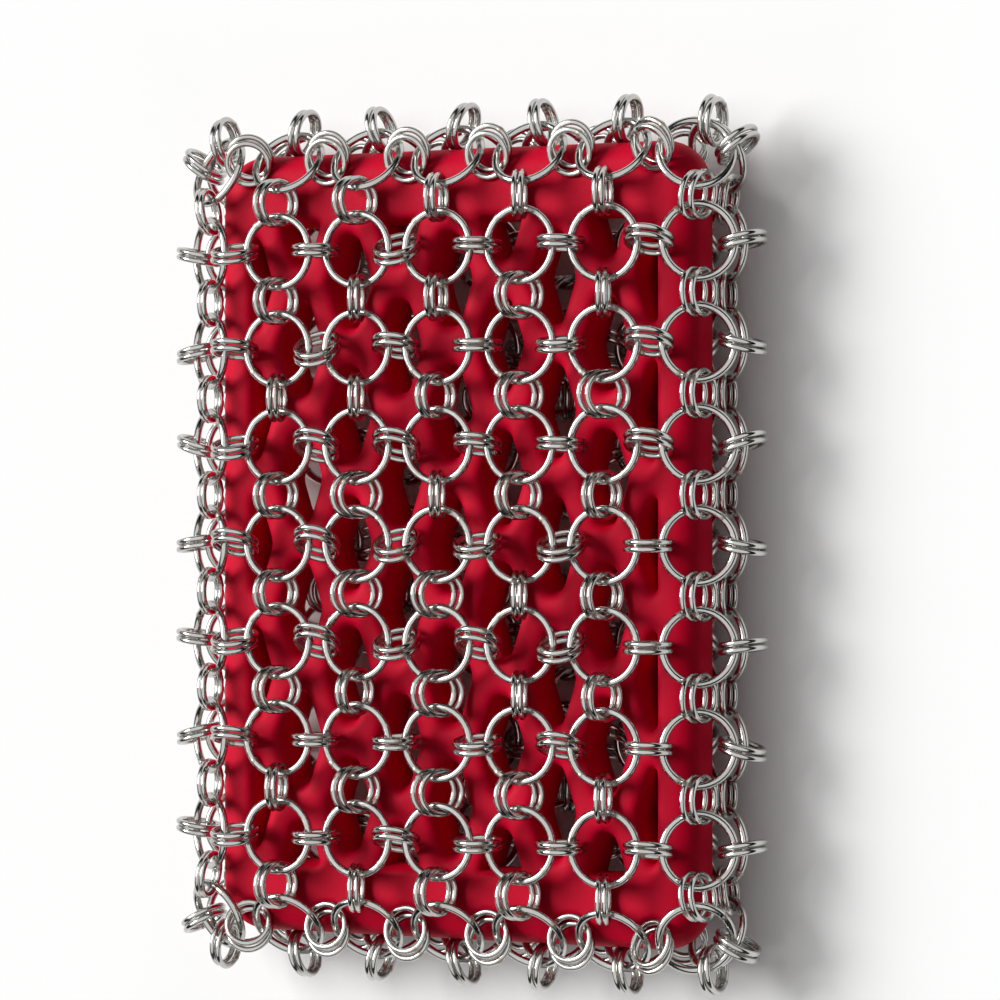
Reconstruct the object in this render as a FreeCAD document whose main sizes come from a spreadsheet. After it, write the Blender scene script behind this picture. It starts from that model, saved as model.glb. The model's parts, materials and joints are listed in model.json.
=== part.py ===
import FreeCAD, Part
import os
from math import asin, atan2, cos, radians, sin, sqrt, tan

# Pot scrubber: a closed sleeve of welded wire rings round a silicone grid core.
# It lies flat: X across, Y along its length, Z up, origin on the floor under its middle.

doc = FreeCAD.newDocument("pot_scrubber")
sheet = doc.addObject("Spreadsheet::Sheet", "sizes")

# Driving sizes, in millimetres and degrees.
SIZES = [
    ("large_ring_radius", "4.74", "large ring, centre line of its wire"),
    ("large_wire_radius", "0.52", "large ring, wire"),
    ("link_ring_radius", "2.88", "small linking ring, centre line of its wire"),
    ("link_wire_radius", "0.4", "small linking ring, wire"),
    ("link_play", "0.22", "room left in a link along the length of the pad"),
    ("column_slack", "0.46", "rings stand this much closer across the pad"),
    ("pair_gap", "0.12", "between the two rings of a link"),
    ("core_gap", "0.2", "between the core and the rings over it"),
    ("upright_lift", "0.4", "how far an upright link is lifted off the core"),
    ("side_lift", "0.05", "lift of the links over the core's long sides"),
    ("end_lift", "0.4", "how far the links over the core's ends are drawn outwards"),
    ("side_clearance", "1.95", "core's long sides to the plane of the rings over them"),
    ("end_clearance", "2.4", "core's ends to the plane of the rings over them"),
    ("seam_half_gap", "1.55", "middle plane to the wires that the loops close"),
    ("loop_lift", "0.4", "how far a closing loop stands out of the seam"),
    ("corner_inset", "0.8", "corner rings are drawn in by this"),
    ("core_thickness", "8", "silicone core"),
    ("core_edge_radius", "3.6", "rounding of the core's long and short edges"),
    ("core_corner_radius", "6", "core's four corners, seen from above"),
    ("side_bar_width", "5.5", "solid bars along the core's long sides"),
    ("end_bar_width", "8.6", "solid bars along the core's ends"),
    ("hole_half_width", "3.5", "grid opening, to its side corner"),
    ("hole_half_length", "10.2", "grid opening, to its end corner"),
    ("hole_end_radius", "1.8", "rounding of a grid opening's ends"),
    ("hole_side_radius", "2.2", "rounding of a grid opening's sides"),
    ("rim_radius", "0.5", "rounding of the rims of the grid openings"),
    ("cut_overrun", "1", "cuts run past the faces by this"),
    ("down_lean", "40", "most lean of a link along the pad, degrees"),
    ("cross_lean", "38", "most lean of a link across the pad, degrees"),
    ("side_lean", "42", "lean of the links over the core's long sides, degrees"),
    ("end_lean", "45", "outward lean of the links that lie over the core's ends, degrees"),
    ("corner_lean", "35", "outward lean of the end links beside the corners, degrees"),
    ("rest_lean", "35", "lean of the links on the lower face, degrees"),
    ("loop_lean", "20", "most sideways lean of a closing loop, degrees"),
    ("corner_turn", "22", "loops at the corners turn this far round the corner, degrees"),
    ("down_travel", "6", "swing of the links along the pad, degrees"),
    ("cross_travel", "8", "swing of the links across the pad, degrees"),
]
for row, (alias, value, note) in enumerate(SIZES, start=1):
    sheet.set("A%d" % row, note)
    sheet.set("B%d" % row, value)
    sheet.setAlias("B%d" % row, alias)
doc.recompute()


def size(alias):
    """Value of one driving size."""
    return float(getattr(sheet, alias))


# Counts of large rings on each face, and of grid openings along the core.
ROWS = 9
COLUMNS = 7
GRID_COLUMNS = 4
GRID_ROWS = 6

# How far each link of the upper face leans, as shares of the most lean.
# Rows run from the far end of the pad, columns from the left.
# The outermost cross rows and down columns lie over the core's edge and have a lean of their own.
CROSS_LEAN_SHARES = [
    [-0.4, 0.0, -0.8, 0.1, 0.1, 0.6],
    [0.3, -0.9, 0.5, 0.0, -0.2, 0.6],
    [-0.5, 0.8, 0.8, 0.4, 0.1, 0.6],
    [0.6, 0.9, -0.8, -0.5, -0.7, 0.0],
    [-0.5, 0.9, -0.7, 0.8, -0.7, 0.0],
    [0.4, 0.0, -0.1, -0.3, 0.6, 0.1],
    [-0.3, 0.0, 0.6, -0.1, 0.0, 0.3],
]
DOWN_LEAN_SHARES = [
    [-0.6, -0.6, 0.2, 0.5, 0.3],
    [-0.6, 0.5, 0.2, -0.8, 0.5],
    [0.4, 0.5, -0.4, -0.8, -1.0],
    [-0.6, -1.0, 0.5, -0.7, -0.4],
    [-0.6, -1.0, -1.0, 0.5, -0.5],
    [-0.8, -0.3, -1.0, 0.5, -0.4],
    [0.3, -0.8, -1.0, -0.8, 0.4],
    [-0.5, 0.5, -0.5, -0.6, 0.5],
]
LOOP_LEAN_SHARES = [-0.8, -0.6, 0.7, -0.9, 0.5, -0.4, 0.8, -0.5, 0.3]

X_AXIS = FreeCAD.Vector(1, 0, 0)
Y_AXIS = FreeCAD.Vector(0, 1, 0)
Z_AXIS = FreeCAD.Vector(0, 0, 1)

# Spacing of the rings: a link holds two large wires inside it.
ring_radius = size("large_ring_radius")
link_radius = size("link_ring_radius")
link_wire = size("link_wire_radius")
large_wire = size("large_wire_radius")
half_gap = link_radius - link_wire - large_wire - size("link_play")
row_pitch = 2 * (ring_radius + half_gap)
column_pitch = 2 * (ring_radius + half_gap - size("column_slack"))
middle_row = (ROWS - 1) / 2
middle_column = (COLUMNS - 1) / 2

# Heights above the pad's middle plane, and the tilt of the rings along its edges.
standoff = link_radius + link_wire + size("core_gap") - size("upright_lift")
half_core = size("core_thickness") / 2
face_height = half_core + standoff
tilt = asin((face_height - size("seam_half_gap")) / (2 * ring_radius))
edge_start_x = (middle_column - 1) * column_pitch + ring_radius + 2 * half_gap
edge_start_y = (middle_row - 1) * row_pitch + ring_radius + 2 * half_gap
edge_x = edge_start_x + ring_radius * cos(tilt)
edge_y = edge_start_y + ring_radius * cos(tilt)
edge_height = face_height - ring_radius * sin(tilt)
corner_height = large_wire + size("core_gap") / 2 + ring_radius * sin(tilt)


def lift_off_core(lean, travel):
    """Lift that keeps a link clear of the core over its travel; angles in radians."""
    steepest = max(0, abs(lean) - travel)
    reach = link_radius * cos(steepest) + link_wire + size("core_gap")
    return max(0, (reach - standoff) / cos(steepest))


rest_lean = radians(size("rest_lean"))
rest_reach = (link_radius + lift_off_core(rest_lean, 0)) * cos(rest_lean) + link_wire
middle_height = face_height + rest_reach


def core_half(edge_start, clearance):
    """Half size of the core that fits under the tilted rings starting at edge_start."""
    rounding = core_edge_radius()
    plane = edge_start * sin(tilt) + face_height * cos(tilt)
    inside = rounding + clearance + (half_core - rounding) * cos(tilt)
    return rounding + (plane - inside) / sin(tilt)


def core_half_width():
    """Half of the core's size across the pad."""
    return core_half(edge_start_x, size("side_clearance"))


def core_half_length():
    """Half of the core's size along the pad."""
    return core_half(edge_start_y, size("end_clearance"))


def grid_half_width():
    """Half size across the pad of the grid between the side bars."""
    return core_half_width() - size("side_bar_width")


def grid_half_length():
    """Half size along the pad of the grid between the end bars."""
    return core_half_length() - size("end_bar_width")


def core_edge_radius():
    """Edge rounding of the core, which leaves a little of its side flat."""
    edge_share = 0.45
    return min(size("core_edge_radius"), edge_share * size("core_thickness"))


def unit(vector):
    """Copy of a vector with length one."""
    return FreeCAD.Vector(vector) / vector.Length


def across(vector, normal):
    """Unit part of a vector that lies square to a unit normal."""
    return unit(vector - normal * vector.dot(normal))


def edge_sign(index, count):
    """-1 on the first, 1 on the last and 0 on every other row or column."""
    if index == 0:
        return -1
    return 1 if index == count - 1 else 0


def large_ring(row, column, face):
    """Centre and normal of a large ring; face is 1 above and -1 below the middle plane."""
    side = edge_sign(column, COLUMNS)
    end = -edge_sign(row, ROWS)
    x = side * edge_x if side else (column - middle_column) * column_pitch
    y = end * edge_y if end else (middle_row - row) * row_pitch
    height = face_height
    turn = 1
    if side or end:
        height = edge_height
    if side and end:
        x -= side * size("corner_inset")
        y -= end * size("corner_inset")
        height = corner_height
        turn = sqrt(2)
    slope = sin(tilt) / turn
    normal = FreeCAD.Vector(side * slope, end * slope, face * sqrt(1 - slope ** 2 * (side ** 2 + end ** 2)))
    return FreeCAD.Vector(x, y, face * height), normal


def link_pair(first, second, outward, lean, lift):
    """Two small rings round the wire points first and second, standing towards outward.

    Each is a centre and an axis. A positive lean turns them from outward towards
    the side that lies along the line from first to second, turned a quarter left.
    """
    along = unit(second - first)
    up = across(outward, along)
    side = up.cross(along)
    stand = up * cos(lean) + side * sin(lean)
    axis = along.cross(stand)
    middle = (first + second) / 2 + stand * lift
    spread = (link_wire + size("pair_gap") / 2) / cos(lean)
    return [(middle + side * spread, axis), (middle - side * spread, axis)]


def face_link(one, two, lean, lift):
    """Link pair between two neighbouring large rings of one face."""
    between = two[0] - one[0]
    first = one[0] + across(between, one[1]) * ring_radius
    second = two[0] - across(between, two[1]) * ring_radius
    return link_pair(first, second, one[1] + two[1], lean, lift)


def loop_outward(row, column, outward):
    """Direction in which a closing loop stands: turned round the corner at a corner ring."""
    side = edge_sign(column, COLUMNS)
    end = -edge_sign(row, ROWS)
    if not (side and end):
        return outward
    corner = X_AXIS * side + Y_AXIS * end
    turn = radians(size("corner_turn"))
    return outward * cos(turn) + (corner - outward) * sin(turn)


def seam_point(row, column, outward):
    """Middle of the two wires that a closing loop holds, and their half distance."""
    centre, normal = large_ring(row, column, 1)
    wire = centre + across(loop_outward(row, column, outward), normal) * ring_radius
    return FreeCAD.Vector(wire.x, wire.y, 0), wire.z


def closing_loop(row, column, outward, lean_share):
    """Link pair that closes the upper and lower faces at the pad's edge."""
    middle, half = seam_point(row, column, outward)
    stand = loop_outward(row, column, outward)
    lean = radians(size("loop_lean")) * lean_share
    return link_pair(middle + Z_AXIS * half, middle - Z_AXIS * half, stand, lean, size("loop_lift"))


def cross_link(row, column, face):
    """Link pair between a large ring and the next one to its right."""
    one = large_ring(row, column, face)
    two = large_ring(row, column + 1, face)
    end = -edge_sign(row, ROWS)
    if end:
        alias = "corner_lean" if edge_sign(column, COLUMNS - 1) else "end_lean"
        return face_link(one, two, end * face * radians(size(alias)), size("end_lift"))
    if face < 0:
        lean = rest_lean * (-1) ** (row + column)
        return face_link(one, two, lean, lift_off_core(lean, 0))
    lean = radians(size("cross_lean")) * CROSS_LEAN_SHARES[(row - 1) % len(CROSS_LEAN_SHARES)][column]
    return face_link(one, two, lean, lift_off_core(lean, radians(size("cross_travel"))))


def down_link(row, column, face):
    """Link pair between a large ring and the next one towards the near end."""
    one = large_ring(row, column, face)
    two = large_ring(row + 1, column, face)
    side = edge_sign(column, COLUMNS)
    if side:
        return face_link(one, two, -side * face * radians(size("side_lean")), size("side_lift"))
    if face < 0:
        lean = rest_lean * (-1) ** (row + column)
        return face_link(one, two, lean, lift_off_core(lean, 0))
    lean = radians(size("down_lean")) * DOWN_LEAN_SHARES[row % len(DOWN_LEAN_SHARES)][column - 1]
    return face_link(one, two, lean, lift_off_core(lean, radians(size("down_travel"))))


def ring_object(name, centre, axis, radius_alias, wire_alias):
    """One closed wire ring."""
    ring = doc.addObject("Part::Torus", name)
    ring.setExpression("Radius1", "sizes." + radius_alias)
    ring.setExpression("Radius2", "sizes." + wire_alias)
    turn = FreeCAD.Rotation(Z_AXIS, axis)
    ring.Placement = FreeCAD.Placement(centre + Z_AXIS * middle_height, turn)
    return ring


def ring_node(label, rings, radius_alias, wire_alias):
    """One sub-part: a group of separate rings of the same size."""
    members = []
    for number, (centre, axis) in enumerate(rings, start=1):
        members.append(ring_object("%s_ring_%d" % (label, number), centre, axis, radius_alias, wire_alias))
    node = doc.addObject("Part::Compound", label)
    node.Links = members
    node.Label = label
    return node


def large_node(label, places):
    """Large rings at the given rows, columns and faces."""
    rings = [large_ring(*place) for place in places]
    return ring_node(label, rings, "large_ring_radius", "large_wire_radius")


def link_node(label, pairs):
    """Small rings of the given link pairs."""
    rings = [ring for pair in pairs for ring in pair]
    return ring_node(label, rings, "link_ring_radius", "link_wire_radius")


def upper_face():
    """Nodes of the upper face: rings and down links by column, cross links by row."""
    nodes = []
    for column in range(COLUMNS):
        places = [(row, column, 1) for row in range(ROWS)]
        nodes.append(large_node("upper_rings_column_%d" % (column + 1), places))
        pairs = [down_link(row, column, 1) for row in range(ROWS - 1)]
        nodes.append(link_node("upper_down_links_column_%d" % (column + 1), pairs))
    for row in range(ROWS):
        pairs = [cross_link(row, column, 1) for column in range(COLUMNS - 1)]
        nodes.append(link_node("upper_cross_links_row_%d" % (row + 1), pairs))
    return nodes


def lower_face():
    """Nodes of the lower face, which the pad rests on."""
    places = [(row, column, -1) for row in range(ROWS) for column in range(COLUMNS)]
    down = [down_link(row, column, -1) for row in range(ROWS - 1) for column in range(COLUMNS)]
    cross = [cross_link(row, column, -1) for row in range(ROWS) for column in range(COLUMNS - 1)]
    return [
        large_node("lower_rings", places),
        link_node("lower_down_links", down),
        link_node("lower_cross_links", cross),
    ]


def closing_loops():
    """One node for each loop round the edge, where the two faces are closed."""
    nodes = []
    for column in range(COLUMNS):
        share = LOOP_LEAN_SHARES[column % len(LOOP_LEAN_SHARES)]
        pair = closing_loop(0, column, Y_AXIS, share)
        nodes.append(link_node("far_loop_%d" % (column + 1), [pair]))
        pair = closing_loop(ROWS - 1, column, -Y_AXIS, -share)
        nodes.append(link_node("near_loop_%d" % (column + 1), [pair]))
    for row in range(ROWS):
        share = LOOP_LEAN_SHARES[row % len(LOOP_LEAN_SHARES)]
        pair = closing_loop(row, 0, -X_AXIS, share)
        nodes.append(link_node("left_loop_%d" % (row + 1), [pair]))
        pair = closing_loop(row, COLUMNS - 1, X_AXIS, -share)
        nodes.append(link_node("right_loop_%d" % (row + 1), [pair]))
    return nodes


def origin_plane(body, role):
    """One of a body's own origin planes."""
    return next(plane for plane in body.Origin.OriginFeatures if plane.Role == role)


def edge_names(shape, wanted):
    """Names of a shape's edges that pass a test."""
    return ["Edge%d" % number for number, edge in enumerate(shape.Edges, start=1) if wanted(edge)]


def flat_at(item, height):
    """Whether an edge or face lies flat at a height."""
    box = item.BoundBox
    tolerance_share = 0.001
    near = tolerance_share * size("core_thickness")
    return abs(box.ZMin - height) < near and abs(box.ZMax - height) < near


def core_slab():
    """Solid slab of the core, before its grid is cut, lying about the middle plane."""
    half_width = core_half_width()
    half_length = core_half_length()
    body = doc.addObject("PartDesign::Body", "core_slab")
    sketch = body.newObject("Sketcher::SketchObject", "core_outline")
    sketch.AttachmentSupport = [(origin_plane(body, "XY_Plane"), "")]
    sketch.MapMode = "FlatFace"
    corners = [
        FreeCAD.Vector(-half_width, -half_length, 0),
        FreeCAD.Vector(half_width, -half_length, 0),
        FreeCAD.Vector(half_width, half_length, 0),
        FreeCAD.Vector(-half_width, half_length, 0),
    ]
    for number, corner in enumerate(corners):
        following = corners[(number + 1) % len(corners)]
        sketch.addGeometry(Part.LineSegment(corner, following), False)
    pad = body.newObject("PartDesign::Pad", "core_pad")
    pad.Profile = sketch
    pad.setExpression("Length", "sizes.core_thickness")
    pad.Midplane = True
    doc.recompute()
    upright = edge_names(pad.Shape, lambda edge: edge.BoundBox.ZLength > half_core)
    corner_fillet = body.newObject("PartDesign::Fillet", "core_corners")
    corner_fillet.Base = (pad, upright)
    corner_fillet.setExpression("Radius", "sizes.core_corner_radius")
    doc.recompute()
    rims = edge_names(
        corner_fillet.Shape, lambda edge: flat_at(edge, half_core) or flat_at(edge, -half_core)
    )
    edge_fillet = body.newObject("PartDesign::Fillet", "core_edges")
    edge_fillet.Base = (corner_fillet, rims)
    edge_fillet.Radius = core_edge_radius()
    body.Tip = edge_fillet
    return body


def hole_outline(x, y, z):
    """Closed wire of one grid opening: a long diamond with rounded corners."""
    half_width = size("hole_half_width")
    half_length = size("hole_half_length")
    lean = atan2(half_width, half_length)
    middle = FreeCAD.Vector(x, y, z)
    corners = [
        (Y_AXIS, half_length, lean, size("hole_end_radius")),
        (X_AXIS, half_width, radians(90) - lean, size("hole_side_radius")),
        (-Y_AXIS, half_length, lean, size("hole_end_radius")),
        (-X_AXIS, half_width, radians(90) - lean, size("hole_side_radius")),
    ]
    arcs = []
    for outward, reach, half_angle, radius in corners:
        tangent = radius / tan(half_angle)
        inward = outward * (reach - tangent * cos(half_angle))
        sideways = FreeCAD.Vector(outward.y, -outward.x, 0) * (tangent * sin(half_angle))
        crown = outward * (reach - radius / sin(half_angle) + radius)
        arcs.append(Part.Arc(middle + inward - sideways, middle + crown, middle + inward + sideways))
    edges = []
    for number, arc in enumerate(arcs):
        following = arcs[(number + 1) % len(arcs)]
        edges.append(arc.toShape())
        edges.append(Part.LineSegment(arc.EndPoint, following.StartPoint).toShape())
    return Part.Wire(edges)


def grid_openings():
    """All grid openings as one cutting tool, in two sets that stand between each other."""
    pitch_x = 2 * grid_half_width() / GRID_COLUMNS
    pitch_y = 2 * core_half_length() / GRID_ROWS
    depth = size("core_thickness") + 2 * size("cut_overrun")
    prisms = []
    for step_x in range(-GRID_COLUMNS, GRID_COLUMNS + 1):
        for step_y in range(-GRID_ROWS, GRID_ROWS + 1):
            if (step_x + step_y) % 2 == 0:
                wire = hole_outline(step_x * pitch_x / 2, step_y * pitch_y / 2, -depth / 2)
                prisms.append(Part.Face(wire).extrude(Z_AXIS * depth))
    tool = doc.addObject("Part::Feature", "grid_openings")
    tool.Shape = Part.makeCompound(prisms)
    return tool


def grid_window():
    """Block inside the core's bars, which limits the grid openings."""
    window = doc.addObject("Part::Box", "grid_window")
    half_width = grid_half_width()
    half_length = grid_half_length()
    window.Length = 2 * half_width
    window.Width = 2 * half_length
    window.setExpression("Height", "sizes.core_thickness + 4 * sizes.cut_overrun")
    bottom = -half_core - 2 * size("cut_overrun")
    corner = FreeCAD.Vector(-half_width, -half_length, bottom)
    window.Placement = FreeCAD.Placement(corner, FreeCAD.Rotation())
    return window


def rim_numbers(shape):
    """Numbers of the rim edges of the openings that stand clear of the bars."""
    numbers = {edge.hashCode(): number for number, edge in enumerate(shape.Edges, start=1)}
    clear_x = grid_half_width() - size("rim_radius")
    clear_y = grid_half_length() - size("rim_radius")
    rims = []
    for face in shape.Faces:
        if not (flat_at(face, half_core) or flat_at(face, -half_core)):
            continue
        for wire in face.Wires:
            box = wire.BoundBox
            if max(-box.XMin, box.XMax) < clear_x and max(-box.YMin, box.YMax) < clear_y:
                rims.extend(numbers[edge.hashCode()] for edge in wire.Edges)
    return rims


def silicone_core():
    """Core: the slab with its grid cut through and the rims rounded."""
    window = doc.addObject("Part::Common", "grid_tool")
    window.Base = grid_window()
    window.Tool = grid_openings()
    grid = doc.addObject("Part::Cut", "core_grid")
    grid.Base = core_slab()
    grid.Tool = window
    doc.recompute()
    rounding = size("rim_radius")
    rims = [(number, rounding, rounding) for number in rim_numbers(grid.Shape)]
    core = doc.addObject("Part::Fillet", "silicone_core")
    core.Base = grid
    core.Edges = rims
    core.Label = "silicone_core"
    core.Placement = FreeCAD.Placement(Z_AXIS * middle_height, FreeCAD.Rotation())
    return core


def check(objects):
    """Stop if any object of the document failed or any sub-part has a bad shape."""
    for item in doc.Objects:
        if "Invalid" in item.State or "Error" in item.State:
            raise RuntimeError("%s failed: %s" % (item.Label, item.State))
    for item in objects:
        if item.Shape.isNull() or not item.Shape.isValid():
            raise RuntimeError("%s has no valid shape" % item.Label)


def build():
    """Build every sub-part and write it to its own file."""
    nodes = [silicone_core()] + upper_face() + lower_face() + closing_loops()
    doc.recompute()
    check(nodes)
    os.makedirs("parts", exist_ok=True)
    for node in nodes:
        node.Shape.exportStep("parts/%s.step" % node.Label)
    return nodes


sub_parts = build()
print("%d sub-parts, %d rings" % (len(sub_parts), sum(len(node.Shape.Solids) for node in sub_parts) - 1))
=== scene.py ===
import json
from math import cos, pi, radians, sin

import bpy
import numpy as np
from mathutils import Matrix, Vector


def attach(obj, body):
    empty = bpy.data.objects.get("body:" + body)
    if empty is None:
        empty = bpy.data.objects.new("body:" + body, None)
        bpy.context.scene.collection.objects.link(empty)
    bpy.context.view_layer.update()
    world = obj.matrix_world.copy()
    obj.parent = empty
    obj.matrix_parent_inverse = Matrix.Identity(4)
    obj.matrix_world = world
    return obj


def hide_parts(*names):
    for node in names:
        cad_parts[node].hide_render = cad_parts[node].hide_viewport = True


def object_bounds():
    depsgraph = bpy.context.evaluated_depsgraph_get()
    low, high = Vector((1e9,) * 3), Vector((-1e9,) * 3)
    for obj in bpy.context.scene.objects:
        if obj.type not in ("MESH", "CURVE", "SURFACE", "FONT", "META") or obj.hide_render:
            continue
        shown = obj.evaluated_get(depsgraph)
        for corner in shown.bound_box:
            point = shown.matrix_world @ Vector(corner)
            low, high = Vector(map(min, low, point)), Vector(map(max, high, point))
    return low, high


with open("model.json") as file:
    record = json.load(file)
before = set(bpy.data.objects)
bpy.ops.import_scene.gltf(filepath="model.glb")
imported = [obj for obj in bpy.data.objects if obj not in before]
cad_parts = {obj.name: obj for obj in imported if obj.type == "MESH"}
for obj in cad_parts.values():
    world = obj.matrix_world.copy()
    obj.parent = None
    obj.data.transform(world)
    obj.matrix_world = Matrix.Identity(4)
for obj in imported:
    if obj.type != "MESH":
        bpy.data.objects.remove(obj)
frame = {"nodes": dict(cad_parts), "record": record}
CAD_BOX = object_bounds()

bl_info = {
    "name": "Ring Mail Pot Scrubber",
    "version": (1, 0, 0),
    "blender": (4, 5, 0),
    "location": "View3D > Sidebar > Scrubber",
    "description": "Finishes a pot scrubber of welded steel rings round a moulded silicone core",
    "category": "Object",
}

# Lengths are in metres, as the frame's are. MM and the photograph's width turn other units into them.
MM = 0.001
PHOTO_WIDTH = 1000
CORE_NODE = "silicone_core"
PAD_BODY = "pad"
WHITE = (1, 1, 1, 1)

# Welds sit a little differently on each ring. The golden share spreads them evenly, and needs no random draw.
GOLDEN_SHARE = 0.618034
LARGE_WELD_SPREAD = radians(10)
SMALL_WELD_SPREAD = radians(14)
SMALL_WELD_OFFSET = radians(32)
WELD_SIDE_CYCLE = 3
WELD_ROOT_SHARE = 0.96
WELD_STEPS_ALONG = 7
WELD_STEPS_AROUND = 12

PRESS_STEPS = 8
FLAG_CARDS = 32

RECORD = frame["record"]
NODE_BODY = {node: body for body, nodes in RECORD["behaviour"]["bodies"].items() for node in nodes}
RING_NODES = sorted(node for node in frame["nodes"] if node != CORE_NODE)
LARGE_RING_NODES = [node for node in RING_NODES if "rings" in node]
LINK_NODES = [node for node in RING_NODES if "links" in node]
LOOP_NODES = [node for node in RING_NODES if "loop" in node]


def linear(code):
    """Linear colour of an sRGB hex code such as B8122E."""
    shares = [int(code[place:place + 2], 16) / 255 for place in (0, 2, 4)]
    return [share / 12.92 if share <= 0.04045 else ((share + 0.055) / 1.055) ** 2.4 for share in shares]


def rgba(colour):
    """A colour with full cover, as a shader's socket takes it."""
    return (*colour, 1)


def colour_property(name, description, code):
    """A colour that a user may change, with its default from a hex code."""
    return bpy.props.FloatVectorProperty(
        name=name, description=description, subtype="COLOR", size=3, min=0, max=1, default=linear(code)
    )


def length_property(name, description, default):
    """A length in metres that a user may change."""
    return bpy.props.FloatProperty(
        name=name, description=description, unit="LENGTH", precision=5, min=0, default=default
    )


def angle_property(name, description, degrees):
    """An angle that a user may change, with its default in degrees."""
    return bpy.props.FloatProperty(
        name=name, description=description, unit="ROTATION", default=radians(degrees)
    )


class ScrubberFinish(bpy.types.PropertyGroup):
    """Colours and small sizes of the scrubber's own pieces."""

    steel: colour_property("Steel", "Bright face of the ring wire", "D4D3D0")
    steel_dull: colour_property("Dull steel", "Ring wire where tumbling left it duller", "ABA9A5")
    weld: colour_property("Weld", "Heat tint on the weld of a ring", "C4BDB2")
    weld_dark: colour_property("Dark weld", "Darkest heat tint on a weld", "8C857C")
    silicone: colour_property("Silicone", "Moulded silicone of the core", "D0002E")
    silicone_deep: colour_property("Deep silicone", "Silicone where the pigment is denser", "BA0026")
    tumble_mark: length_property("Tumble mark", "Width of the marks that tumbling leaves", 0.5 * MM)
    mark_depth: length_property("Mark depth", "Depth of the marks on the wire and its welds", 0.05 * MM)
    cloud: length_property("Cloud", "Width of the duller patches along the wire", 5 * MM)
    grain: length_property("Mould grain", "Grain that the mould leaves on the silicone", 0.35 * MM)
    grain_depth: length_property("Grain depth", "Depth of the mould's grain", 0.06 * MM)
    glow_depth: length_property("Glow depth", "How far light goes into the silicone", 0.8 * MM)
    mottle: length_property("Mottle", "Width of the pale and deep patches of the silicone", 9 * MM)
    core_step: length_property("Core step", "Size of the faces of the core's mesh", 0.4 * MM)
    weld_length: length_property("Weld length", "Length of a weld along its wire", 1.1 * MM)
    weld_proud: bpy.props.FloatProperty(
        name="Weld bulge", description="How far a weld bulges, as a share of the wire", min=0, default=0.1
    )
    core_passes: bpy.props.IntProperty(
        name="Rim softness", description="Smoothing passes that round the core's rims", min=0, default=16
    )
    core_stretch: bpy.props.FloatProperty(
        name="Core length",
        description="Length of the soft core, as a share of its rigid solid's",
        default=1.05,
    )
    rib_swell: length_property("Rib swell", "How far a rib swells halfway through the core", 0.8 * MM)
    edge_band: length_property("Edge band", "Outer band of the core that keeps its straight sides", 2.5 * MM)
    press_gap: length_property("Press gap", "Left between the silicone and a ring that dents it", 0.18 * MM)


class ScrubberStage(bpy.types.PropertyGroup):
    """Camera, light and floor."""

    paper: colour_property("Backdrop paper", "Seamless paper that the pad lies on", "FDFDFC")
    tooth: length_property("Paper tooth", "Grain of the backdrop paper", 0.8 * MM)
    tooth_depth: length_property("Tooth depth", "Depth of the paper's grain", 0.05 * MM)
    flag: colour_property("Black flag", "Cards round the stage that the wire mirrors", "141414")
    floor_size: length_property("Floor", "Length of the floor's sides", 6.0)
    # The paper's painted white glow fades the pad's shadow out between these two.
    shade_reach: length_property("Shadow reach", "From the pad to where its shadow has faded", 24 * MM)
    shadow_painted_out: bpy.props.FloatProperty(
        name="Shadow fade",
        description="Share of the paper's shadow that fades away from the pad",
        default=0.8,
    )
    flag_radius: length_property("Flag distance", "From the pad to the cards", 0.9)
    flag_tilt_low: angle_property("Flags from", "Lower edge of the cards, above the horizon", 4)
    flag_tilt_high: angle_property("Flags to", "Upper edge of the cards, above the horizon", 36)
    camera_tilt: angle_property("Camera tilt", "From straight above, towards the pad's right side", 27)
    camera_distance: length_property("Camera distance", "From the camera to the pad's middle", 0.56)
    frame_width: length_property("Frame width", "Width of the picture at the pad's middle", 132.1 * MM)
    pad_column: bpy.props.FloatProperty(
        name="Pad column", description="Picture column of the pad's middle, in pixels", default=461
    )
    pad_row: bpy.props.FloatProperty(
        name="Pad row", description="Picture row of the pad's middle, in pixels", default=544
    )
    sun_turn: angle_property("Key light turn", "Round the pad from its right side, counter-clockwise", 160)
    sun_height: angle_property("Key light height", "Above the horizon", 41)
    sun_spread: angle_property("Key light spread", "How wide the key light looks from the pad", 36)
    sun_strength: bpy.props.FloatProperty(
        name="Key light", description="Strength of the key light", min=0, default=4.1
    )
    sky_strength: bpy.props.FloatProperty(
        name="Fill light", description="Strength of the fill all round", min=0, default=0.12
    )


def add_node(tree, kind, settings=None, inputs=None):
    """Add a shader node: its own fields from settings, its sockets from values or from sockets to link."""
    made = tree.nodes.new(kind)
    for field, value in (settings or {}).items():
        setattr(made, field, value)
    for key, value in (inputs or {}).items():
        if isinstance(value, bpy.types.NodeSocket):
            tree.links.new(value, made.inputs[key])
        else:
            made.inputs[key].default_value = value
    return made


def new_material(name):
    """An empty node material and its output."""
    material = bpy.data.materials.new(name)
    material.use_nodes = True
    material.node_tree.nodes.clear()
    return material, add_node(material.node_tree, "ShaderNodeOutputMaterial")


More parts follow.
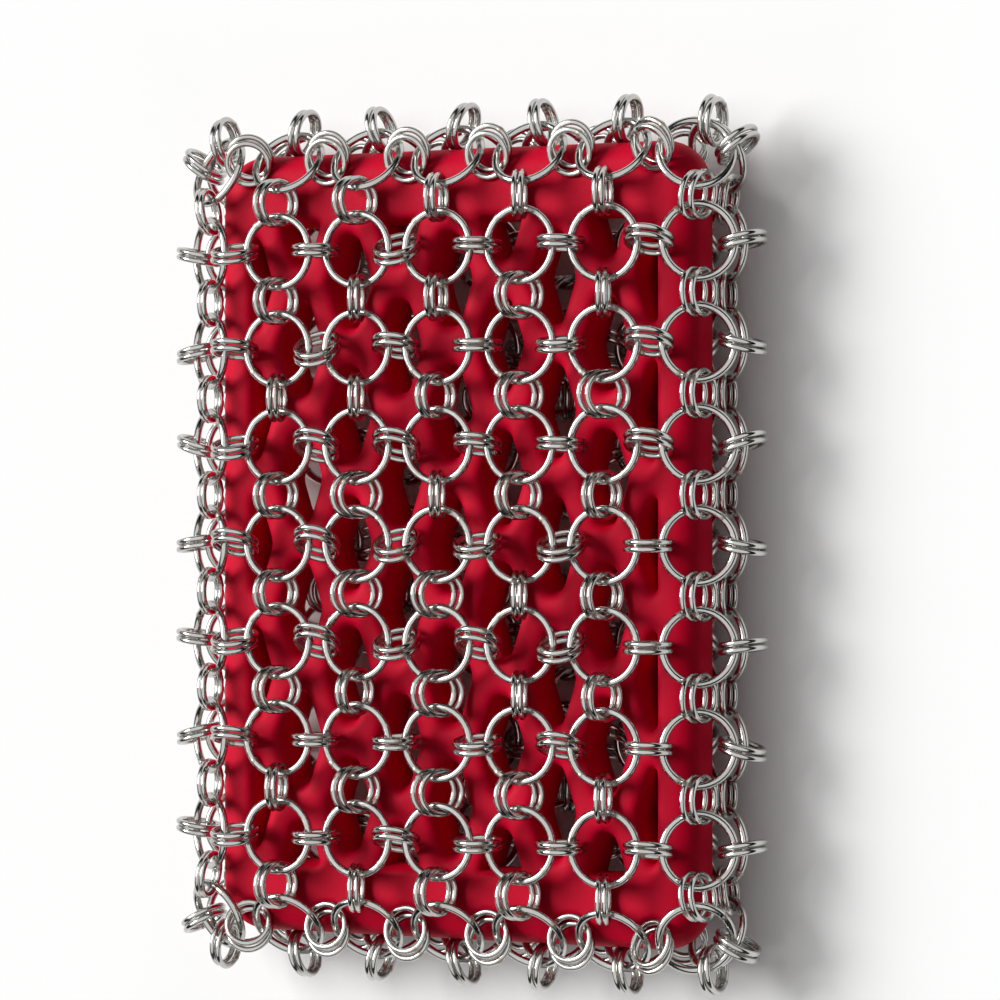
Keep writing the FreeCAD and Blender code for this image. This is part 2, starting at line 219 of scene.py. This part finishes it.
def tumbled_stainless(finish):
    """Stainless steel wire, drawn, welded and tumbled bright.

    Tumbling leaves the eye a mirror that is a little broken: small marks that blur it, and duller patches.
    """
    material, output = new_material("tumbled_stainless_wire")
    tree = material.node_tree
    place = add_node(tree, "ShaderNodeTexCoord").outputs["Object"]
    cloud = add_node(tree, "ShaderNodeTexNoise", None, {
        "Vector": place, "Scale": 1 / finish.cloud, "Detail": 3, "Roughness": 0.6,
    })
    marks = add_node(tree, "ShaderNodeTexNoise", None, {
        "Vector": place, "Scale": 1 / finish.tumble_mark, "Detail": 4, "Roughness": 0.65, "Distortion": 0.6,
    })
    tone = add_node(tree, "ShaderNodeMix", {"data_type": "RGBA"}, {
        "Factor": cloud.outputs["Fac"], "A": rgba(finish.steel), "B": rgba(finish.steel_dull),
    })
    blur = add_node(tree, "ShaderNodeMapRange", None, {
        "Value": marks.outputs["Fac"], "From Min": 0.3, "From Max": 0.75, "To Min": 0.1, "To Max": 0.26,
    })
    dents = add_node(tree, "ShaderNodeBump", None, {
        "Height": marks.outputs["Fac"], "Strength": 0.12, "Distance": finish.mark_depth,
    })
    steel = add_node(tree, "ShaderNodeBsdfPrincipled", None, {
        "Base Color": tone.outputs["Result"], "Metallic": 1, "Roughness": blur.outputs["Result"],
        "Normal": dents.outputs["Normal"],
    })
    tree.links.new(steel.outputs["BSDF"], output.inputs["Surface"])
    return material


def weld_steel(finish):
    """Resistance weld in stainless wire: duller than the wire, straw to brown where the heat tinted it."""
    material, output = new_material("heat_tinted_weld")
    tree = material.node_tree
    place = add_node(tree, "ShaderNodeTexCoord").outputs["Object"]
    tint = add_node(tree, "ShaderNodeTexNoise", None, {
        "Vector": place, "Scale": 1 / finish.tumble_mark, "Detail": 2,
    })
    tone = add_node(tree, "ShaderNodeMix", {"data_type": "RGBA"}, {
        "Factor": tint.outputs["Fac"], "A": rgba(finish.weld), "B": rgba(finish.weld_dark),
    })
    scale = add_node(tree, "ShaderNodeBump", None, {
        "Height": tint.outputs["Fac"], "Strength": 0.3, "Distance": finish.mark_depth,
    })
    steel = add_node(tree, "ShaderNodeBsdfPrincipled", None, {
        "Base Color": tone.outputs["Result"], "Metallic": 1, "Roughness": 0.36,
        "Normal": scale.outputs["Normal"],
    })
    tree.links.new(steel.outputs["BSDF"], output.inputs["Surface"])
    return material


def moulded_silicone(finish):
    """Red silicone rubber, moulded with a fine matt grain.

    It gives a deep even red with a broad soft sheen, and lets a little light in at its rims.
    """
    material, output = new_material("moulded_silicone_rubber")
    tree = material.node_tree
    place = add_node(tree, "ShaderNodeTexCoord").outputs["Object"]
    mottle = add_node(tree, "ShaderNodeTexNoise", None, {
        "Vector": place, "Scale": 1 / finish.mottle, "Detail": 3, "Roughness": 0.55,
    })
    grain = add_node(tree, "ShaderNodeTexNoise", None, {
        "Vector": place, "Scale": 1 / finish.grain, "Detail": 3, "Roughness": 0.6,
    })
    tone = add_node(tree, "ShaderNodeMix", {"data_type": "RGBA"}, {
        "Factor": mottle.outputs["Fac"], "A": rgba(finish.silicone), "B": rgba(finish.silicone_deep),
    })
    sheen = add_node(tree, "ShaderNodeMapRange", None, {
        "Value": grain.outputs["Fac"], "From Min": 0.3, "From Max": 0.7, "To Min": 0.5, "To Max": 0.64,
    })
    pores = add_node(tree, "ShaderNodeBump", None, {
        "Height": grain.outputs["Fac"], "Strength": 0.16, "Distance": finish.grain_depth,
    })
    rubber = add_node(tree, "ShaderNodeBsdfPrincipled", None, {
        "Base Color": tone.outputs["Result"], "Roughness": sheen.outputs["Result"], "IOR": 1.41,
        "Specular IOR Level": 0.12, "Subsurface Weight": 0.06, "Subsurface Radius": (1.0, 0.12, 0.1),
        "Subsurface Scale": finish.glow_depth, "Normal": pores.outputs["Normal"],
    })
    tree.links.new(rubber.outputs["BSDF"], output.inputs["Surface"])
    return material


def seen_rays(tree):
    """1 for the rays that show a surface as it looks: the camera's own, mirrored and passed on."""
    ray = add_node(tree, "ShaderNodeLightPath").outputs
    seen = add_node(tree, "ShaderNodeMath", {"operation": "MAXIMUM"}, {
        0: ray["Is Camera Ray"], 1: ray["Is Glossy Ray"],
    })
    seen = add_node(tree, "ShaderNodeMath", {"operation": "MAXIMUM"}, {
        0: seen.outputs["Value"], 1: ray["Is Transmission Ray"],
    })
    return seen.outputs["Value"]


def backdrop_paper(stage):
    """Seamless studio paper: matt and nearly white, with a faint tooth.

    It takes the pad's shadow, but away from the pad it glows white for the camera and for mirrored rays: a
    painted light that fades the shadow into plain white.
    """
    material, output = new_material("backdrop_paper")
    tree = material.node_tree
    place = add_node(tree, "ShaderNodeTexCoord").outputs["Object"]
    tooth = add_node(tree, "ShaderNodeTexNoise", None, {
        "Vector": place, "Scale": 1 / stage.tooth, "Detail": 2,
    })
    fibres = add_node(tree, "ShaderNodeBump", None, {
        "Height": tooth.outputs["Fac"], "Strength": 0.03, "Distance": stage.tooth_depth,
    })
    paper = add_node(tree, "ShaderNodeBsdfDiffuse", None, {
        "Color": rgba(stage.paper), "Normal": fibres.outputs["Normal"],
    })
    # Painted light: beyond the pad's box the paper glows white, lifting the pad's shadow there.
    mirrored = add_node(tree, "ShaderNodeVectorMath", {"operation": "ABSOLUTE"}, {0: place})
    beyond = add_node(tree, "ShaderNodeVectorMath", {"operation": "SUBTRACT"}, {
        0: mirrored.outputs["Vector"], 1: CAD_BOX[1],
    })
    sides = add_node(tree, "ShaderNodeSeparateXYZ", None, {"Vector": beyond.outputs["Vector"]}).outputs
    away = add_node(tree, "ShaderNodeMath", {"operation": "MAXIMUM"}, {0: sides["X"], 1: sides["Y"]})
    painted_glow = add_node(tree, "ShaderNodeMapRange", {"interpolation_type": "SMOOTHSTEP"}, {
        "Value": away.outputs["Value"], "From Min": -stage.shade_reach / 2, "From Max": stage.shade_reach,
        "To Max": stage.shadow_painted_out,
    })
    share = add_node(tree, "ShaderNodeMath", {"operation": "MULTIPLY"}, {
        0: painted_glow.outputs["Result"], 1: seen_rays(tree),
    })
    white = add_node(tree, "ShaderNodeEmission", None, {"Color": WHITE, "Strength": 1})
    surface = add_node(tree, "ShaderNodeMixShader", None, {
        0: share.outputs["Value"], 1: paper.outputs["BSDF"], 2: white.outputs["Emission"],
    })
    tree.links.new(surface.outputs["Shader"], output.inputs["Surface"])
    return material


def flag_cloth(stage):
    """Black flock on a studio flag: it sends back next to no light."""
    material, output = new_material("black_flag_cloth")
    cloth = add_node(material.node_tree, "ShaderNodeBsdfDiffuse", None, {"Color": rgba(stage.flag)})
    material.node_tree.links.new(cloth.outputs["BSDF"], output.inputs["Surface"])
    return material


def mesh_piece(name, points, faces, material):
    """A new smooth mesh object in the row frame."""
    mesh = bpy.data.meshes.new(name)
    mesh.from_pydata([tuple(point) for point in points], [], faces)
    mesh.materials.append(material)
    mesh.shade_smooth()
    piece = bpy.data.objects.new(name, mesh)
    bpy.context.scene.collection.objects.link(piece)
    return piece


def put_material(node, material):
    """Give a CAD node its finish."""
    target = frame["nodes"][node]
    for slot in target.material_slots:
        slot.material = material


def vertex_values(mesh, field):
    """One vector field of a mesh's vertices, a row for each."""
    values = np.zeros(len(mesh.vertices) * 3)
    mesh.vertices.foreach_get(field, values)
    return values.reshape(-1, 3)


def set_points(mesh, points):
    """Move a mesh's vertices."""
    mesh.vertices.foreach_set("co", points.ravel())
    mesh.update()


def rings_of(node):
    """Centre, axis, radius and wire radius of each ring of a node, read from its mesh."""
    points = vertex_values(frame["nodes"][node].data, "co")
    count = RECORD["physics"]["collision_pieces"][node]
    rings = []
    for ring in points.reshape(count, -1, 3):
        centre = (ring.min(0) + ring.max(0)) / 2
        offset = ring - centre
        axis = np.linalg.svd(offset, full_matrices=False)[2][2]
        reach = np.linalg.norm(offset - np.outer(offset @ axis, axis), axis=1)
        inner = reach.min()
        outer = reach.max()
        rings.append((Vector(centre), Vector(axis), (outer + inner) / 2, (outer - inner) / 2))
    return rings


def weld_direction(node, axis, index):
    """Where on a ring its weld sits: away from the wires that cross it, off the ring's outermost point."""
    chance = 2 * (index * GOLDEN_SHARE % 1) - 1
    if node in LARGE_RING_NODES:
        quarter = pi / 4 + pi / 2 * (index % 4)
        middle = Vector((cos(quarter), sin(quarter), 0))
        middle = (middle - axis * middle.dot(axis)).normalized()
        swing = LARGE_WELD_SPREAD * chance
    else:
        held = Vector((0, 0, 1))
        if "down" in node:
            held = Vector((0, 1, 0))
        elif "cross" in node:
            held = Vector((1, 0, 0))
        middle = axis.cross(held).normalized() * (1 if index % WELD_SIDE_CYCLE else -1)
        swing = SMALL_WELD_OFFSET * (1 if chance > 0 else -1) + SMALL_WELD_SPREAD * chance
    return Matrix.Rotation(swing, 3, axis) @ middle


def weld_bead(ring, direction, finish, points, faces):
    """Add one weld to points and faces: a short swelling of the wire with hidden ends."""
    centre, axis, radius, wire = ring
    along = WELD_STEPS_ALONG
    around = WELD_STEPS_AROUND
    rise = 1 + finish.weld_proud - WELD_ROOT_SHARE
    half_turn = finish.weld_length / radius / 2
    first = len(points)
    for step in range(along):
        share = 2 * step / (along - 1) - 1
        outward = Matrix.Rotation(half_turn * share, 3, axis) @ direction
        swelling = wire * (WELD_ROOT_SHARE + rise * cos(share * pi / 2) ** 2)
        for side in range(around):
            turn = 2 * pi * side / around
            points.append(centre + outward * (radius + swelling * cos(turn)) + axis * swelling * sin(turn))
    for step in range(along - 1):
        for side in range(around):
            low = first + step * around
            following = (side + 1) % around
            faces.append((low + side, low + following, low + around + following, low + around + side))
    faces.append(tuple(range(first + around - 1, first - 1, -1)))
    last = first + (along - 1) * around
    faces.append(tuple(range(last, last + around)))


def finish_rings(nodes):
    """Bright wire for the rings of some nodes, with a weld on every ring."""
    finish = bpy.context.scene.scrubber_finish
    steel = bpy.data.materials.get("tumbled_stainless_wire") or tumbled_stainless(finish)
    tint = bpy.data.materials.get("heat_tinted_weld") or weld_steel(finish)
    for node in nodes:
        put_material(node, steel)
        points = []
        faces = []
        for index, ring in enumerate(rings_of(node)):
            weld_bead(ring, weld_direction(node, ring[1], index), finish, points, faces)
        welds = mesh_piece(node + "_welds", points, faces, tint)
        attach(welds, NODE_BODY[node])


class SCRUBBER_OT_large_rings(bpy.types.Operator):
    """Finish the large rings of both faces"""

    bl_idname = "scrubber.large_rings"
    bl_label = "Large Rings"

    def execute(self, context):
        finish_rings(LARGE_RING_NODES)
        return {"FINISHED"}


class SCRUBBER_OT_links(bpy.types.Operator):
    """Finish the small rings that link the large ones along and across the pad"""

    bl_idname = "scrubber.links"
    bl_label = "Links"

    def execute(self, context):
        finish_rings(LINK_NODES)
        return {"FINISHED"}


class SCRUBBER_OT_loops(bpy.types.Operator):
    """Finish the small rings that close the two faces round the edge"""

    bl_idname = "scrubber.loops"
    bl_label = "Closing Loops"

    def execute(self, context):
        finish_rings(LOOP_NODES)
        return {"FINISHED"}


def joint_turns(node):
    """Places that a node can be turned to: rest, and both limits of the joint of its body."""
    turns = [Matrix.Identity(4)]
    for joint in RECORD["behaviour"]["joints"]:
        if joint["child"] == NODE_BODY[node]:
            pivot = Matrix.Translation(joint["pos_m"])
            for limit in joint["range_deg"]:
                turns.append(pivot @ Matrix.Rotation(radians(limit), 4, joint["axis"]) @ pivot.inverted())
    return turns


def press_ring(points, normals, ring, turn, gap):
    """Press the points that lie within a ring's wire inwards, along their normals, until they clear it."""
    centre, axis, radius, wire = ring
    centre = np.array(turn @ centre)
    axis = np.array(turn.to_3x3() @ axis)
    near = np.flatnonzero((np.abs(points - centre) < radius + wire + gap).all(axis=1))
    for _ in range(PRESS_STEPS):
        offset = points[near] - centre
        height = offset @ axis
        reach = np.linalg.norm(offset - np.outer(height, axis), axis=1)
        depth = wire + gap - np.hypot(reach - radius, height)
        pressed = near[depth > 0]
        points[pressed] -= normals[pressed] * depth[depth > 0, None]


def swell_ribs(mesh, swell, band):
    """Round the ribs between the openings: they swell towards the mould's parting plane, halfway through."""
    points = vertex_values(mesh, "co")
    normals = vertex_values(mesh, "normal")
    middle = (points.min(0) + points.max(0)) / 2
    half = (points.max(0) - points.min(0)) / 2
    inside = (np.abs(points - middle)[:, :2] < half[:2] - band).all(axis=1)
    bulge = inside * swell * (1 - ((points[:, 2] - middle[2]) / half[2]) ** 2)
    normals[:, 2] = 0
    set_points(mesh, points + normals * bulge[:, None])


def press_rings(mesh, gap):
    """Dent a soft mesh where the rings of the mail lie against it or swing over it."""
    points = vertex_values(mesh, "co")
    normals = vertex_values(mesh, "normal")
    for node in RING_NODES:
        rings = rings_of(node)
        for turn in joint_turns(node):
            for ring in rings:
                press_ring(points, normals, ring, turn, gap)
    set_points(mesh, points)


def moulded_mesh(context, finish):
    """Mesh of the soft core: its rigid solid drawn long, with even faces and soft rims."""
    blank = bpy.data.objects.new("core_blank", frame["nodes"][CORE_NODE].data.copy())
    context.scene.collection.objects.link(blank)
    blank.data.transform(Matrix.Diagonal((1, finish.core_stretch, 1, 1)))
    remesh = blank.modifiers.new("even_faces", "REMESH")
    remesh.mode = "VOXEL"
    remesh.voxel_size = finish.core_step
    smooth = blank.modifiers.new("soft_rims", "SMOOTH")
    smooth.iterations = finish.core_passes
    context.view_layer.update()
    mesh = bpy.data.meshes.new_from_object(blank.evaluated_get(context.evaluated_depsgraph_get()))
    mesh.name = "moulded_core"
    bpy.data.objects.remove(blank)
    return mesh


class SCRUBBER_OT_core(bpy.types.Operator):
    """Mould the core: its solid with the rims of the grid rounded soft, drawn tight into the mail"""

    bl_idname = "scrubber.core"
    bl_label = "Silicone Core"

    def execute(self, context):
        finish = context.scene.scrubber_finish
        mesh = moulded_mesh(context, finish)
        mesh.materials.clear()
        mesh.materials.append(moulded_silicone(finish))
        mesh.shade_smooth()
        swell_ribs(mesh, finish.rib_swell, finish.edge_band)
        press_rings(mesh, finish.press_gap)
        core = bpy.data.objects.new("moulded_core", mesh)
        context.scene.collection.objects.link(core)
        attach(core, PAD_BODY)
        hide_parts(CORE_NODE)
        return {"FINISHED"}


def add_floor(stage):
    """Floor of seamless paper under the pad."""
    half = stage.floor_size / 2
    corners = [(-half, -half, 0), (half, -half, 0), (half, half, 0), (-half, half, 0)]
    floor = mesh_piece("floor", corners, [(0, 1, 2, 3)], backdrop_paper(stage))


def add_flags(stage):
    """Ring of black cards that only mirror-like surfaces see, so that the wire has dark lines."""
    points = []
    for tilt in (stage.flag_tilt_low, stage.flag_tilt_high):
        for card in range(FLAG_CARDS):
            turn = 2 * pi * card / FLAG_CARDS
            across = stage.flag_radius * cos(tilt)
            points.append((across * cos(turn), across * sin(turn), stage.flag_radius * sin(tilt)))
    faces = []
    for card in range(FLAG_CARDS):
        following = (card + 1) % FLAG_CARDS
        faces.append((card, following, FLAG_CARDS + following, FLAG_CARDS + card))
    flags = mesh_piece("black_flags", points, faces, flag_cloth(stage))
    flags.visible_camera = False
    flags.visible_diffuse = False
    flags.visible_shadow = False


def add_key_light(stage):
    """Soft key light from the left."""
    lamp = bpy.data.lights.new("key_light", "SUN")
    lamp.energy = stage.sun_strength
    lamp.angle = stage.sun_spread
    light = bpy.data.objects.new("key_light", lamp)
    bpy.context.scene.collection.objects.link(light)
    level = cos(stage.sun_height)
    towards = Vector((level * cos(stage.sun_turn), level * sin(stage.sun_turn), sin(stage.sun_height)))
    light.rotation_euler = towards.to_track_quat("Z", "Y").to_euler()


def add_sky(stage):
    """Even fill light, and white for the camera and for mirrored rays."""
    world = bpy.data.worlds.new("studio_sky")
    world.use_nodes = True
    tree = world.node_tree
    tree.nodes.clear()
    fill = add_node(tree, "ShaderNodeBackground", None, {"Color": WHITE, "Strength": stage.sky_strength})
    white = add_node(tree, "ShaderNodeBackground", None, {"Color": WHITE, "Strength": 1})
    sky = add_node(tree, "ShaderNodeMixShader", None, {
        0: seen_rays(tree), 1: fill.outputs["Background"], 2: white.outputs["Background"],
    })
    output = add_node(tree, "ShaderNodeOutputWorld", None, {"Surface": sky.outputs["Shader"]})
    output.is_active_output = True
    bpy.context.scene.world = world


def add_camera(stage):
    """Camera above the pad, leaning to its right side, with the pad's length upright in the picture."""
    data = bpy.data.cameras.new("photo_camera")
    data.lens = data.sensor_width * stage.camera_distance / stage.frame_width
    camera = bpy.data.objects.new("photo_camera", data)
    bpy.context.scene.collection.objects.link(camera)
    back = Vector((sin(stage.camera_tilt), 0, cos(stage.camera_tilt)))
    up = Vector((0, 1, 0))
    right = up.cross(back)
    pixel = stage.frame_width / PHOTO_WIDTH
    middle = (CAD_BOX[0] + CAD_BOX[1]) / 2
    aim = middle + right * (PHOTO_WIDTH / 2 - stage.pad_column) * pixel
    aim -= up * (PHOTO_WIDTH / 2 - stage.pad_row) * pixel
    turn = Matrix((right, up, back)).transposed()
    camera.matrix_world = Matrix.Translation(aim + back * stage.camera_distance) @ turn.to_4x4()
    bpy.context.scene.camera = camera


class SCRUBBER_OT_stage(bpy.types.Operator):
    """Set up the floor, the lights and the camera"""

    bl_idname = "scrubber.stage"
    bl_label = "Stage"

    def execute(self, context):
        stage = context.scene.scrubber_stage
        context.scene.view_settings.view_transform = "Standard"
        add_floor(stage)
        add_flags(stage)
        add_key_light(stage)
        add_sky(stage)
        add_camera(stage)
        return {"FINISHED"}


PIECE_OPERATORS = (
    SCRUBBER_OT_stage,
    SCRUBBER_OT_core,
    SCRUBBER_OT_large_rings,
    SCRUBBER_OT_links,
    SCRUBBER_OT_loops,
)


class SCRUBBER_PT_panel(bpy.types.Panel):
    """Sidebar panel that lists the scrubber's operators and sizes"""

    bl_idname = "SCRUBBER_PT_panel"
    bl_label = "Pot Scrubber"
    bl_space_type = "VIEW_3D"
    bl_region_type = "UI"
    bl_category = "Scrubber"

    def draw(self, context):
        for operator in PIECE_OPERATORS:
            self.layout.operator(operator.bl_idname)
        for group in (context.scene.scrubber_finish, context.scene.scrubber_stage):
            box = self.layout.box()
            for name in group.__annotations__:
                box.prop(group, name)


CLASSES = (ScrubberFinish, ScrubberStage, *PIECE_OPERATORS, SCRUBBER_PT_panel)


def register():
    """Add the classes and the scene's own settings."""
    for item in CLASSES:
        bpy.utils.register_class(item)
    bpy.types.Scene.scrubber_finish = bpy.props.PointerProperty(type=ScrubberFinish)
    bpy.types.Scene.scrubber_stage = bpy.props.PointerProperty(type=ScrubberStage)


def unregister():
    """Take the classes and the settings away again."""
    del bpy.types.Scene.scrubber_stage
    del bpy.types.Scene.scrubber_finish
    for item in reversed(CLASSES):
        bpy.utils.unregister_class(item)


def main():
    """Build the dressed scrubber."""
    register()
    bpy.ops.scrubber.stage()
    bpy.ops.scrubber.core()
    bpy.ops.scrubber.large_rings()
    bpy.ops.scrubber.links()
    bpy.ops.scrubber.loops()


if __name__ == "__main__":
    main()
